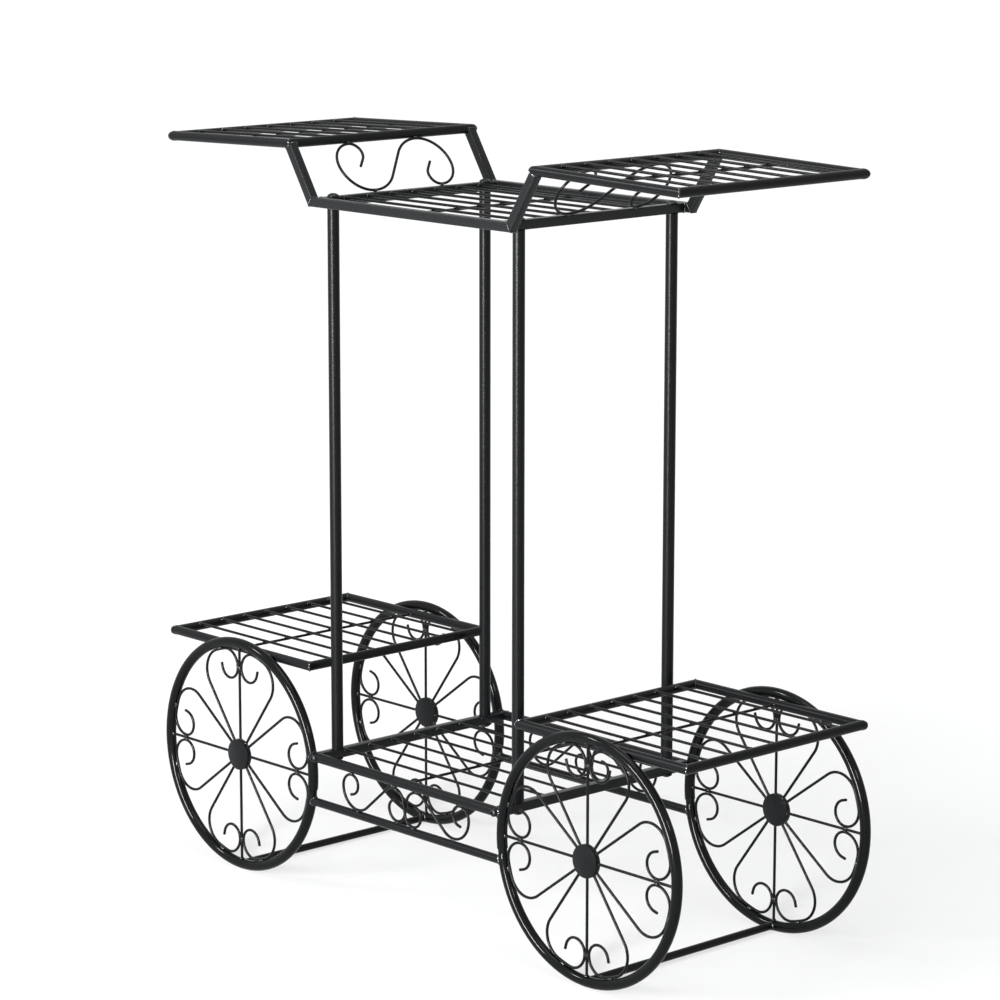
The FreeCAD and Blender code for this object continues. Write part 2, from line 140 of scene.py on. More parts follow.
# name: dark and light colour, roughness, peel size and depth, shine, clear coat
coats = {
    # round tubes: a soft dark sheen along their length, with no sharp glint
    "satinPowderCoatTube": ("#0a0b0c", "#0f1012", 0.28, 2.6, 0.04, 0.1, 0.0),
    # the square tubes: the same black coat, its colour painted a shade greyer as painted light, because
    # flat faces lie in the light as a whole
    "satinPowderCoatFlatPaintedLight": ("#0d0f10", "#131517", 0.3, 2.6, 0.05, 0.17, 0.0),
    # thin wires: nearly black, with a faint line of light
    "satinPowderCoatWire": ("#090a0b", "#0e0f10", 0.24, 1.8, 0.015, 0.08, 0.08),
    # the rims: the same black coat, its colour painted the deepest black as painted shade, with a thin
    # bright streak
    "semiGlossPowderCoatRimPaintedShade": ("#050606", "#090a0b", 0.2, 2.6, 0.02, 0.02, 0.23),
    # the film is thin and glassy where it flows over a weld, so welds show as bright dots
    "glossyPowderCoatWeld": ("#121415", "#1c1f21", 0.14, 1.2, 0.06, 0.4, 0.3),
}
materials = {name: powderCoat(name, *values) for name, values in coats.items()}

oxideSizes = {
    "speck": 0.5,            # forging scale left on the head
    "speckDetail": 3.0,
    "colour": "#26282a",
    "metal": 0.85,
    "smoothest": 0.25,
    "roughest": 0.5,
    "bumpStrength": 0.4,
    "bumpDepth": 0.02,
}


# Blackened steel: black oxide under a trace of oil, a dark metal with a dull sheen
def blackOxide(name):
    material, tree, place = startMaterial(name)
    specks = noise(tree, place, oxideSizes["speck"], oxideSizes["speckDetail"])
    gloss = addNode(tree, "ShaderNodeMapRange", {
        "Value": specks, "To Min": oxideSizes["smoothest"], "To Max": oxideSizes["roughest"]})
    bump = addNode(tree, "ShaderNodeBump", {
        "Height": specks, "Strength": oxideSizes["bumpStrength"],
        "Distance": oxideSizes["bumpDepth"] * mm})
    shader = addNode(tree, "ShaderNodeBsdfPrincipled", {
        "Base Color": hexToLinear(oxideSizes["colour"]), "Metallic": oxideSizes["metal"],
        "Roughness": gloss.outputs["Result"], "Normal": bump.outputs["Normal"]})
    addNode(tree, "ShaderNodeOutputMaterial", {"Surface": shader.outputs["BSDF"]})
    return material


materials["blackOxideSteel"] = blackOxide("blackOxideSteel")
print("materials made:", len(materials))

creaseAngle = 38             # the least angle between faces that stays an edge


def newMesh(name, points, edges=(), faces=()):
    mesh = bpy.data.meshes.new(name)
    mesh.from_pydata([tuple(p) for p in points], list(edges), list(faces))
    if faces:
        # a ring may run the other way round, so the faces are turned outwards
        shape = bmesh.new()
        shape.from_mesh(mesh)
        bmesh.ops.recalc_face_normals(shape, faces=shape.faces)
        shape.to_mesh(mesh)
        shape.free()
    mesh.update()
    return mesh


# A finished piece: at the origin, smooth but for its real corners, riding on the stand
def keepPiece(name, mesh, nodes, coat=None):
    if coat:
        mesh.materials.clear()
        mesh.materials.append(materials[coat])
    mesh.shade_smooth()
    mesh.set_sharp_from_angle(angle=math.radians(creaseAngle))
    piece = bpy.data.objects.new(name, mesh)
    bpy.context.scene.collection.objects.link(piece)
    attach(piece, "root")
    if nodes:
        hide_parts(*nodes)
    return piece


# Starts a tree whose inputs are named, each with its kind
def startTree(name, inputs):
    tree = bpy.data.node_groups.new(name, "GeometryNodeTree")
    for label, kind in {"Geometry": "Geometry", **inputs, "Material": "Material"}.items():
        tree.interface.new_socket(label, in_out="INPUT", socket_type="NodeSocket" + kind)
    tree.interface.new_socket("Geometry", in_out="OUTPUT", socket_type="NodeSocketGeometry")
    return tree, tree.nodes.new("NodeGroupInput").outputs


# Ends a tree: real geometry, one material
def endTree(tree, geometry, source):
    real = addNode(tree, "GeometryNodeRealizeInstances", {0: geometry})
    painted = addNode(tree, "GeometryNodeSetMaterial",
                      {0: real.outputs[0], "Material": source["Material"]})
    addNode(tree, "NodeGroupOutput", {0: painted.outputs[0]})
    return tree


# Runs a tree on a seed mesh with its inputs set, and keeps the result
def growPiece(name, seedMesh, tree, coat, nodes, values):
    values = {"Material": materials[coat], **values}
    seed = bpy.data.objects.new(name + "Seed", seedMesh)
    bpy.context.scene.collection.objects.link(seed)
    modifier = seed.modifiers.new("grow", "NODES")
    modifier.node_group = tree
    for item in tree.interface.items_tree:
        if item.item_type == "SOCKET" and item.in_out == "INPUT" and item.name in values:
            modifier[item.identifier] = values[item.name]
    bpy.context.view_layer.update()
    evaluated = seed.evaluated_get(bpy.context.evaluated_depsgraph_get())
    made = bpy.data.meshes.new_from_object(evaluated)
    seed.modifiers.remove(modifier)
    bpy.data.objects.remove(seed)
    return keepPiece(name, made, nodes)


wireSizes = {
    "diameter": 3.0,
    "gap": 0.05,             # between round pieces that touch along their sides
    "cutLength": 0.45,       # how far the rounding reaches back from a cut end
    "cutShare": 0.72,        # what is left of the diameter at the cut
}


# How far each point of a curve lies from its start, and how far from its end
def curveDistances(tree):
    along = addNode(tree, "GeometryNodeSplineParameter").outputs["Length"]
    total = addNode(tree, "GeometryNodeSplineLength").outputs["Length"]
    return along, compute(tree, "SUBTRACT", total, along)


# A round bar along a curve, whose diameter is scaled from point to point
def roundAlong(tree, curve, radius, sides, scale, caps=True):
    section = addNode(tree, "GeometryNodeCurvePrimitiveCircle", {"Resolution": sides, "Radius": radius})
    made = addNode(tree, "GeometryNodeCurveToMesh", {
        "Curve": curve, "Profile Curve": section.outputs["Curve"], "Scale": scale,
        "Fill Caps": caps})
    return made.outputs["Mesh"]


def curveFromSeed(tree, source):
    return addNode(tree, "GeometryNodeMeshToCurve", {0: source["Geometry"]}).outputs[0]


# A wire along the seed's line, with its two cut ends a little rounded off
def wireFromSeed(tree, source, sides=12):
    nearest = compute(tree, "MINIMUM", *curveDistances(tree))
    scale = addNode(tree, "ShaderNodeMapRange", {
        "Value": nearest, "From Min": 0.0, "From Max": wireSizes["cutLength"] * mm,
        "To Min": wireSizes["cutShare"], "To Max": 1.0}).outputs["Result"]
    radius = compute(tree, "MULTIPLY", source["Wire Diameter"], 0.5)
    return roundAlong(tree, curveFromSeed(tree, source), radius, sides, scale)


# A wire and its mirror image, which may also be shifted
def withTwin(tree, wire, mirror, shift=(0, 0, 0)):
    twin = addNode(tree, "GeometryNodeTransform", {
        "Geometry": wire, "Translation": shift, "Scale": mirror}).outputs[0]
    pair = addNode(tree, "GeometryNodeJoinGeometry")
    tree.links.new(wire, pair.inputs[0])
    tree.links.new(addNode(tree, "GeometryNodeFlipFaces", {0: twin}).outputs[0], pair.inputs[0])
    return pair.outputs[0]


bendStep = {"length": 2.2, "angle": 9, "least": 3}


# Each move is a radius and a turn, plus to the left, or 0 and a length
def tracePath(start, heading, moves):
    u, v = start
    angle = math.radians(heading)
    points = [(u, v)]
    for radius, amount in moves:
        if radius == 0:
            u += amount * math.cos(angle)
            v += amount * math.sin(angle)
            points.append((u, v))
            continue
        side = math.copysign(1, amount)
        turn = math.radians(amount)
        steps = max(bendStep["least"], math.ceil(abs(turn) * radius / bendStep["length"]),
                    math.ceil(abs(amount) / bendStep["angle"]))
        centreU = u - side * radius * math.sin(angle)
        centreV = v + side * radius * math.cos(angle)
        for k in range(1, steps + 1):
            bearing = angle + turn * k / steps
            points.append((centreU + side * radius * math.sin(bearing),
                           centreV - side * radius * math.cos(bearing)))
        u, v = points[-1]
        angle += turn
    return points


# A path as a line of edges, with one more point close to each end for the rounded cut
def pathMesh(points, place):
    def nearEnd(a, b):
        share = wireSizes["cutLength"] / math.dist(a, b)
        return tuple(p + (q - p) * share for p, q in zip(a, b))
    points = [points[0], nearEnd(points[0], points[1]), *points[1:-1],
              nearEnd(points[-1], points[-2]), points[-1]]
    return newMesh("seed", [place(u, v) for u, v in points],
                   [(i, i + 1) for i in range(len(points) - 1)])


# Wire work on the node of the same name, its path laid out by a place function
def growWire(node, ending, path, place, tree, values):
    growPiece(node + ending, pathMesh(path, place), tree, "satinPowderCoatWire", [node],
              {"Wire Diameter": wireSizes["diameter"] * mm, **values})


wheelSizes = {
    "outerDiameter": 257.5,
    "tube": 11.0,
    "centreX": 271.25,
    "centreY": 134.0,
    "arcPoints": 481,
    "tubeSides": 40,
    "jointAngle": -6.5,      # just below the inner spoke
    "jointSlit": 0.6,
    "neckLength": 9.0,       # the necked end that is pressed into the other
    "neckShare": 0.86,
    "neckFull": 0.55,        # how much of the neck has its least diameter
    "hubDiameter": 34.0,
    "hubThickness": 6.0,
    "hubEdge": 0.7,          # the broken edge of the disc, and its rounding
    "hubRound": 0.2,
    "hubSides": 72,
    "spokes": 4,
    "spokeInHub": 1.0,
    "spokeInRim": 2.0,       # from the spoke's end to the centre of the rim's tube
}
rimRadius = (wheelSizes["outerDiameter"] - wheelSizes["tube"]) / 2
rimInside = rimRadius - wheelSizes["tube"] / 2
hubRadius = wheelSizes["hubDiameter"] / 2
hubZ = wheelSizes["outerDiameter"] / 2
wheelPlaces = [(depth + "_" + side, sideX, sideY) for depth, sideY in depths for side, sideX in sides]


def wheelCentre(sideX, sideY):
    return Vector((sideX * wheelSizes["centreX"], sideY * wheelSizes["centreY"], hubZ)) * mm


# The rim: one tube bent to a ring. Its lower end is necked down and goes into the upper end.
def rimTree():
    tree, source = startTree("wheelRim", {
        "Ring Radius": "Float", "Tube Diameter": "Float", "Joint Angle": "Float", "Slit": "Float",
        "Neck Length": "Float", "Neck Share": "Float", "Centre": "Vector", "Turn": "Float"})
    slitAngle = compute(tree, "DIVIDE", source["Slit"], source["Ring Radius"])
    arc = addNode(tree, "GeometryNodeCurveArc", {
        "Resolution": wheelSizes["arcPoints"], "Radius": source["Ring Radius"],
        "Start Angle": source["Joint Angle"],
        "Sweep Angle": compute(tree, "SUBTRACT", 2 * math.pi, slitAngle)}, mode="RADIUS")
    upright = addNode(tree, "GeometryNodeTransform", {
        "Geometry": arc.outputs["Curve"], "Rotation": (math.radians(90), 0, 0)})
    neckEnd = compute(tree, "MULTIPLY", source["Neck Length"], wheelSizes["neckFull"])
    neck = addNode(tree, "ShaderNodeMapRange", {
        "Value": curveDistances(tree)[1], "From Min": neckEnd, "From Max": source["Neck Length"],
        "To Min": source["Neck Share"], "To Max": 1.0}, interpolation_type="SMOOTHSTEP")
    radius = compute(tree, "MULTIPLY", source["Tube Diameter"], 0.5)
    ring = roundAlong(tree, upright.outputs[0], radius, wheelSizes["tubeSides"],
                      neck.outputs["Result"])
    turn = addNode(tree, "ShaderNodeCombineXYZ", {"Z": source["Turn"]})
    placed = addNode(tree, "GeometryNodeTransform", {
        "Geometry": ring, "Translation": source["Centre"], "Rotation": turn.outputs[0]})
    return endTree(tree, placed.outputs[0], source)


# The seed's wire, for petals with its mirror image, repeated at every spoke
def wheelWireTree(name, mirrored):
    tree, source = startTree(name, {"Wire Diameter": "Float", "Spokes": "Int", "Centre": "Vector"})
    wire = wireFromSeed(tree, source)
    if mirrored:
        wire = withTwin(tree, wire, (1, 1, -1))
    points = addNode(tree, "GeometryNodeMeshLine", {
        "Count": source["Spokes"], "Start Location": source["Centre"], "Offset": (0, 0, 0)})
    index = addNode(tree, "GeometryNodeInputIndex").outputs[0]
    step = compute(tree, "DIVIDE", 2 * math.pi, source["Spokes"])
    turn = addNode(tree, "ShaderNodeCombineXYZ", {"Y": compute(tree, "MULTIPLY", index, step)})
    copies = addNode(tree, "GeometryNodeInstanceOnPoints", {
        "Points": points.outputs[0], "Instance": wire, "Rotation": turn.outputs[0]})
    return endTree(tree, copies.outputs[0], source)


petalSizes = {"halfWidth": 57.0, "bulgeRadius": 24.5, "shoulderRadius": 18.0, "curlRadius": 13.5,
              "curlTurn": 165.0, "tip": 5.0, "inHub": 1.7}


# The path of a petal, its angle at the hub, the angle of the middle of its run along
# the rim, and how far from the hub it touches the spoke
def petalPath():
    wire, gap = wireSizes["diameter"], wireSizes["gap"]
    hug = rimInside - wire / 2 - gap
    bulge, shoulder = petalSizes["bulgeRadius"], petalSizes["shoulderRadius"]
    bulgeAt = hug - bulge
    bulgeAngle = math.asin((petalSizes["halfWidth"] - bulge) / bulgeAt)
    launch = bulgeAngle + math.asin(bulge / bulgeAt)
    shoulderAngle = math.asin((wire + gap + shoulder) / (hug - shoulder))
    start = hubRadius - petalSizes["inHub"]
    moves = [(0, math.sqrt(bulgeAt ** 2 - bulge ** 2) - start),
             (bulge, math.degrees(bulgeAngle - launch) - 90),
             (hug, math.degrees(shoulderAngle - bulgeAngle)),
             (shoulder, -90 - math.degrees(shoulderAngle)),
             (petalSizes["curlRadius"], -petalSizes["curlTurn"]),
             (0, petalSizes["tip"])]
    path = tracePath((start * math.cos(launch), start * math.sin(launch)), math.degrees(launch), moves)
    return path, launch, (bulgeAngle + shoulderAngle) / 2, (hug - shoulder) * math.cos(shoulderAngle)


petalPoints, launchAngle, touchAngle, kissRadius = petalPath()


# Faces of a turned shape, whose columns of points follow each other, and its two ends
def turnedFaces(count, segments):
    faces = []
    for k in range(segments):
        here, after = k * count, (k + 1) % segments * count
        faces += [(here + i, after + i, after + i + 1, here + i + 1) for i in range(count - 1)]
    faces.append([k * count for k in range(segments)][::-1])
    faces.append([k * count + count - 1 for k in range(segments)])
    return faces


# The hub: a flat disc with its edges broken. It starts at the wires' inner side and
# stands out on the outer side of the wheel.
def hubMesh(centre, sideY):
    thick, edge, soft = wheelSizes["hubThickness"], wheelSizes["hubEdge"], wheelSizes["hubRound"]
    outline = [(-edge, 0), (-soft, soft), (0, edge), (0, thick - edge),
               (-soft, thick - soft), (-edge, thick)]
    points = []
    for k in range(wheelSizes["hubSides"]):
        angle = 2 * math.pi * k / wheelSizes["hubSides"]
        for inset, h in outline:
            r = hubRadius + inset
            points.append(centre + Vector((-sideY * r * math.cos(angle),
                                           sideY * (h - wireSizes["diameter"] / 2),
                                           r * math.sin(angle))) * mm)
    return newMesh("hub", points, faces=turnedFaces(len(outline), wheelSizes["hubSides"]))


rims = rimTree()
spokeLine = [(hubRadius - wheelSizes["spokeInHub"], 0), (rimRadius - wheelSizes["spokeInRim"], 0)]
wheelWires = {"petals": (petalPoints, wheelWireTree("petalWires", True)),
              "spokes": (spokeLine, wheelWireTree("straightSpokes", False))}
for place, sideX, sideY in wheelPlaces:
    centre = wheelCentre(sideX, sideY)
    growPiece("rim_" + place + "_tube", newMesh("seed", [(0, 0, 0)]), rims, "semiGlossPowderCoatRimPaintedShade",
              ["rim_" + place], {
                  "Ring Radius": rimRadius * mm, "Tube Diameter": wheelSizes["tube"] * mm,
                  "Joint Angle": math.radians(wheelSizes["jointAngle"]),
                  "Slit": wheelSizes["jointSlit"] * mm,
                  "Neck Length": wheelSizes["neckLength"] * mm, "Neck Share": wheelSizes["neckShare"],
                  "Centre": tuple(centre), "Turn": math.pi if sideX > 0 else 0.0})
    for kind, (path, tree) in wheelWires.items():
        growWire(kind + "_" + place, "_wire", path, lambda r, s: (r * mm, 0, s * mm), tree,
                 {"Spokes": wheelSizes["spokes"], "Centre": tuple(centre)})
    keepPiece("hub_" + place + "_disc", hubMesh(centre, sideY), ["hub_" + place],
              "satinPowderCoatTube")
print("wheels made")


def roundSection(diameter, count=28):
    angles = [2 * math.pi * k / count for k in range(count)]
    return [(diameter / 2 * math.cos(a), diameter / 2 * math.sin(a)) for a in angles]


# Square tube has rounded corners from its rolling
def squareSection(side, corner, steps=5):
    points = []
    for quarter in range(4):
        middle = math.radians(90 * quarter + 45)
        for k in range(steps):
            angle = math.radians(90 * quarter + 90 * k / (steps - 1))
            a = (side / 2 - corner) * math.copysign(1, math.cos(middle))
            b = (side / 2 - corner) * math.copysign(1, math.sin(middle))
            points.append((a + corner * math.cos(angle), b + corner * math.sin(angle)))
    return points


# One bar from start to end in mm. Its ends lie in the planes whose normals are given.
def barRings(start, end, section, startPlane=None, endPlane=None):
    start, end = Vector(start), Vector(end)
    run = (end - start).normalized()
    across = Vector((1, 0, 0)) if abs(run.y) > 0.5 else Vector((0, 1, 0))
    up = run.cross(across).normalized()
    across = up.cross(run).normalized()
    rings = []
    for point, plane in ((start, startPlane or run), (end, endPlane or run)):
        spots = [point + across * a + up * b for a, b in section]
        rings.append([spot - run * ((spot - point).dot(plane) / run.dot(plane)) for spot in spots])
    return rings


def mitredBars(corners, loop, section):
    bars = []
    count = len(corners)
    for i in range(count if loop else count - 1):
        start, end = corners[i], corners[(i + 1) % count]
        run = (end - start).normalized()
        before = run + (start - corners[i - 1]).normalized() if loop or i else None
        after = run + (corners[(i + 2) % count] - end).normalized() if loop or i < count - 2 else None
        bars.append(barRings(start, end, section, before, after))
    return bars


# Bars as one piece, on the node of the same name
def keepTube(node, bars, coat="satinPowderCoatTube"):
    points, faces = [], []
    for first, last in bars:
        base, count = len(points), len(first)
        points += [p * mm for p in first + last]
        faces += [(base + i, base + (i + 1) % count, base + count + (i + 1) % count, base + count + i)
                  for i in range(count)]
        faces.append(list(range(base, base + count))[::-1])
        faces.append(list(range(base + count, base + 2 * count)))
    keepPiece(node + "_tube", newMesh(node, points, faces=faces), [node], coat)


railSizes = {
    "upperTube": 10.5,
    "upperOverHub": 22.0,
    "lowerTube": 9.0,
    "lowerUnderHub": 27.0,
    "tieTube": 8.0,
    "endShort": 1.5,         # from a bar's end to the centre of the rim's tube
}


# Half the length of a rail that meets the centre line of the rims at this height
def railReach(height):
    return wheelSizes["centreX"] - math.sqrt(rimRadius ** 2 - height ** 2)


for depth, sideY in depths:
    y = sideY * wheelSizes["centreY"]
    for level, height in (("upper", railSizes["upperOverHub"]), ("lower", -railSizes["lowerUnderHub"])):
        reach, z = railReach(height) - railSizes["endShort"], hubZ + height
        bar = barRings((-reach, y, z), (reach, y, z), roundSection(railSizes[level + "Tube"]))
        keepTube(level + "_rail_" + depth, [bar])
for side, sideX in sides:
    x, z = sideX * wheelSizes["centreX"], hubZ - rimRadius
    y = wheelSizes["centreY"] - railSizes["endShort"]
    bar = barRings((x, -y, z), (x, y, z), roundSection(railSizes["tieTube"]))
    keepTube("tie_bar_" + side, [bar])
print("rails and tie bars made")


tubeSizes = {"round": 10.0, "square": 10.0, "squareCorner": 1.5}
roundHalf, squareHalf = tubeSizes["round"] / 2, tubeSizes["square"] / 2
roundRail = roundSection(tubeSizes["round"])
squareRail = squareSection(tubeSizes["square"], tubeSizes["squareCorner"])
upperRailZ = hubZ + railSizes["upperOverHub"]

postSizes = {"tube": 12.5, "sides": 36, "x": 141.0, "y": 106.0}
topSizes = {"halfLength": 150.7, "halfWidth": 124.8, "z": 739.5}
framedDecks = {
    "side_deck": {"innerX": 165.0, "z": 244.0, "droop": 0.0, "length": 230.0, "halfWidth": 123.45},
    "wing": {"innerX": 187.0, "z": 797.0, "droop": 1.63, "length": 193.2, "halfWidth": 126.5},
}
wingInner = Vector((framedDecks["wing"]["innerX"], 0, framedDecks["wing"]["z"]))


# Places of a deck that is drawn level on +X with its inner rail at x = 0
def deckPlace(sideX, sizes):
    turn = Matrix.Rotation(math.radians(sizes["droop"]), 4, "Y")
    move = Matrix.Translation(Vector((sizes["innerX"], 0, sizes["z"])))
    half = Matrix.Rotation(math.pi if sideX < 0 else 0, 4, "Z")
    return half @ move @ turn


# Deck wires: one straight wire, repeated across the deck at an even pitch
def rackTree():
    tree, source = startTree("deckWires", {"Wire Diameter": "Float", "Count": "Int", "Pitch": "Float",
                                           "Corner": "Vector", "Turn": "Vector"})
    across = addNode(tree, "ShaderNodeCombineXYZ", {"Y": source["Pitch"]}).outputs[0]
    points = addNode(tree, "GeometryNodeMeshLine", {"Count": source["Count"], "Offset": across})
    copies = addNode(tree, "GeometryNodeInstanceOnPoints", {
        "Points": points.outputs[0], "Instance": wireFromSeed(tree, source)})
    placed = addNode(tree, "GeometryNodeTransform", {
        "Geometry": copies.outputs[0], "Translation": source["Corner"], "Rotation": source["Turn"]})
    return endTree(tree, placed.outputs[0], source)


deckWireSizes = {
    "count": 7,
    "rise": 3.0,             # over the centre of the rails
    "endInRound": 2.0,       # from a round rail's centre to the wire's end inside it
    "endInSquare": 4.5,
    "crossInRound": 3.0,     # the same for the cross wire
    "crossPastTop": 0.5,     # the top deck's cross wire past the inner face of the rail
    "middleReach": 130.85,   # half the length of the middle deck's rails and cross wire
    "postClear": 0.75,       # from an outer wire of the middle deck to the post
}
wireCount, wireRise = deckWireSizes["count"], deckWireSizes["rise"]
crossHeight = wireRise - wireSizes["diameter"] - wireSizes["gap"]
rack = rackTree()


# A row of wires along X, or with no pitch the one cross wire along Y
def wireRow(node, place, startX, endX, height, pitch=0):
    count = wireCount if pitch else 1
    first = Vector((0, -pitch * (count - 1) / 2, height))
    turn = place if pitch else place @ Matrix.Rotation(math.pi / 2, 4, "Z")
    growWire(node, "_rod", [(startX, 0), (endX, 0)], lambda u, v: (u * mm, v * mm, 0), rack, {
        "Count": count, "Pitch": pitch * mm, "Corner": tuple(place @ first * mm),
        "Turn": tuple(turn.to_euler())})


# half sizes of the weld spots: along the seam, across it and outwards
weldSizes = {
    "wireSide": (1.3, 0.9, 0.75),
    "wireTop": (1.2, 0.9, 0.5),
    "crossing": (1.1, 0.8, 0.5),
    "crossEnd": (1.4, 1.0, 0.8),
    "scroll": (2.6, 1.0, 0.8),
    "petalOnRim": (3.2, 1.2, 1.0),
    "petalOnSpoke": (2.4, 0.9, 0.7),
    "spokeOnRim": (2.0, 1.2, 0.9),
    "hub": (1.9, 1.9, 0.8),
    "deckOnRim": (4.0, 1.6, 1.1),
}
# bead radius of the seams round a bar, and how deep their line lies in its surface
seamSizes = {"frameCorner": (0.8, 0.35), "sideRail": (0.7, 0.1), "armBend": (0.6, 0.2)}
# bead radius where the end of a bar sits on a round tube
saddleBeads = {"arm": 0.7, "rail": 0.9, "tie": 0.8}
beadRoom = 1.3               # bead radii that a seam's line keeps from the box of the solids

# Spots gather here as the pieces are made: point, outward direction, direction along
# the seam, and half sizes. Seams are closed lines of points with a bead radius.
weldSpots = []
weldRings = []


def addWeld(kind, point, outward, along):
    weldSpots.append((Vector(point), Vector(outward).normalized(), Vector(along).normalized(),
                      weldSizes[kind]))


# The small welds of a deck: at both ends of each wire, under the crossings, and at the
# ends of the cross wire. The inset goes from a rail's centre to its face at the wires.
def deckWelds(place, startX, endX, inset, pitch, crossReach):
    wire = wireSizes["diameter"]
    middleX = (startX + endX) / 2
    upward, sideways = Vector((0, 0, 1)), Vector((0, 1, 0))

    def add(kind, point, outward, along):
        turn = place.to_3x3()
        addWeld(kind, place @ Vector(point), turn @ Vector(outward), turn @ along)

    for k in range(-(wireCount // 2), wireCount // 2 + 1):
        y = k * pitch
        for x, inward in ((startX, 1), (endX, -1)):
            for side in (-1, 1):
                add("wireSide", (x + inward * inset, y + side * wire * 0.55, wireRise),
                    (inward, side * 0.9, 0.5), upward)
            add("wireTop", (x + inward * (inset + 0.2), y, wireRise + wire * 0.42),
                (inward * 0.4, 0, 1), sideways)
        for side in (-1, 1):
            add("crossing", (middleX + side * wire * 0.4, y, wireRise - wire / 2),
                (side, 0, -0.4), sideways)
    for side in (-1, 1):
        for out in (-1, 1):
            add("crossEnd", (middleX + out * wire * 0.5, side * crossReach, wireRise - wire),
                (out, -side, 0.3), upward)


# Keeps a seam's bead inside the box of the solids
def addRing(ring, bead):
    room = bead * beadRoom
    kept = [Vector([min(max(c, low / mm + room), high / mm - room)
                    for c, low, high in zip(p, cadLow, cadHigh)]) for p in ring]
    weldRings.append((kept, bead))


# A seam round the section of a bar, in the plane through a point
def addSeam(kind, point, run, plane, section):
    bead, sink = seamSizes[kind]
    ring = barRings(point - run, point, section, None, plane)[1]
    centre = sum(ring, Vector()) / len(ring)
    addRing([p - (p - centre).normalized() * sink for p in ring], bead)


# the side decks and the wings: a mitred frame with its wires
for side, sideX in sides:
    for deck, sizes in framedDecks.items():
        place, turn = deckPlace(sideX, sizes), deckPlace(sideX, sizes).to_3x3()
        reach, length = sizes["halfWidth"], sizes["length"]
        outline = ((0, -reach), (length, -reach), (length, reach), (0, reach))
        corners = [Vector((x, y, 0)) for x, y in outline]
        bars = mitredBars(corners, True, roundRail)
        keepTube(deck + "_frame_" + side, [[[place @ p for p in ring] for ring in bar] for bar in bars])
        pitch = 2 * reach / (wireCount + 1)
        wireRow(deck + "_wires_" + side, place, deckWireSizes["endInRound"],
                length - deckWireSizes["endInRound"], wireRise, pitch)
        crossEnd = reach - deckWireSizes["crossInRound"]
        wireRow(deck + "_cross_wire_" + side, place @ Matrix.Translation((length / 2, 0, 0)),
                -crossEnd, crossEnd, crossHeight)
        deckWelds(place, 0, length, math.sqrt(roundHalf ** 2 - wireRise ** 2), pitch, reach - roundHalf)
        for cornerX, runX in ((0, -1), (length, 1)):
            for sideY in (-1, 1):
                run = turn @ Vector((runX, 0, 0))
                other = turn @ Vector((0, -sideY, 0))
                addSeam("frameCorner", place @ Vector((cornerX, sideY * reach, 0)), run, run + other,
                        roundRail)

# the middle deck and the top deck: square rails across the stand, wires along it
middleReach = deckWireSizes["middleReach"]
topReach = topSizes["halfWidth"] - squareHalf
for side, sideX in sides:
    x = sideX * postSizes["x"]
    for node, z, reach in (("middle_rail_", upperRailZ, middleReach),
                           ("top_side_rail_", topSizes["z"], topReach)):
        keepTube(node + side, [barRings((x, -reach, z), (x, reach, z), squareRail)],
                 "satinPowderCoatFlatPaintedLight")
    for sideY in (-1, 1):
        addSeam("sideRail", Vector((x, sideY * topReach, topSizes["z"])), Vector((0, sideY, 0)), None,
                squareRail)
middlePitch = (postSizes["y"] - postSizes["tube"] / 2 - wireSizes["diameter"] / 2
               - deckWireSizes["postClear"]) / (wireCount // 2)
topPitch = 2 * topSizes["halfWidth"] / (wireCount + 1)
for deck, railZ, pitch, reach, weldReach in (
        ("middle", upperRailZ, middlePitch, middleReach, middleReach - 2),
        ("top", topSizes["z"], topPitch, topReach + deckWireSizes["crossPastTop"], topReach)):
    end = postSizes["x"] - deckWireSizes["endInSquare"]
    place = Matrix.Translation((0, 0, railZ))
    wireRow(deck + "_wires", place, -end, end, wireRise, pitch)
    wireRow(deck + "_cross_wire", place, -reach, reach, crossHeight)
    deckWelds(place, -postSizes["x"], postSizes["x"], squareHalf, pitch, weldReach)

armSizes = {
    "endShort": 1.0,         # from an arm's end to the centre of the wing's rail
    "saddleShare": 1.02,     # the seam's ring to the arm's section
    "saddleReach": 4.7,      # the seam's line stops here, just short of the rail's side
}
# the top deck's long rails, with the arms that carry the wings
for depth, sideY in depths:
    y = sideY * topSizes["halfWidth"]
    corner = Vector((topSizes["halfLength"], y, topSizes["z"]))
    lean = wingInner + Vector((0, y, 0)) - corner
    tip = corner + lean - lean.normalized() * armSizes["endShort"]
    line = [Vector((-tip.x, y, tip.z)), Vector((-corner.x, y, corner.z)), corner, tip]
    nodes = ("arm_" + depth + "_left", "top_rail_" + depth, "arm_" + depth + "_right")
    for node, bar in zip(nodes, mitredBars(line, False, squareRail)):
        keepTube(node, [bar], "satinPowderCoatFlatPaintedLight")
    for sideX in (-1, 1):
        out = Vector((sideX, 0, 0))
        up = Vector((sideX * lean.x, 0, lean.z)).normalized()
        addSeam("armBend", Vector((sideX * corner.x, y, corner.z)), out, out + up, squareRail)
        # the arm's end meets the wing's round rail in a saddle
        end = Vector((sideX * wingInner.x, y, wingInner.z))
        ring = []
        for a, b in squareRail:
            spot = Vector((0, 1, 0)) * a + up.cross(Vector((0, 1, 0))) * b
            drop = math.sqrt(max(0.0, roundHalf ** 2 - min(abs(b), armSizes["saddleReach"]) ** 2))
            ring.append(end + spot * armSizes["saddleShare"] - up * drop)
        addRing(ring, saddleBeads["arm"])

for depth, sideY in depths:
    for side, sideX in sides:
        x, y = sideX * postSizes["x"], sideY * postSizes["y"]
        bar = barRings((x, y, upperRailZ + squareHalf), (x, y, topSizes["z"] - squareHalf),
                       roundSection(postSizes["tube"], postSizes["sides"]))
        keepTube("post_" + depth + "_" + side, [bar])
print("decks, arms and posts made")


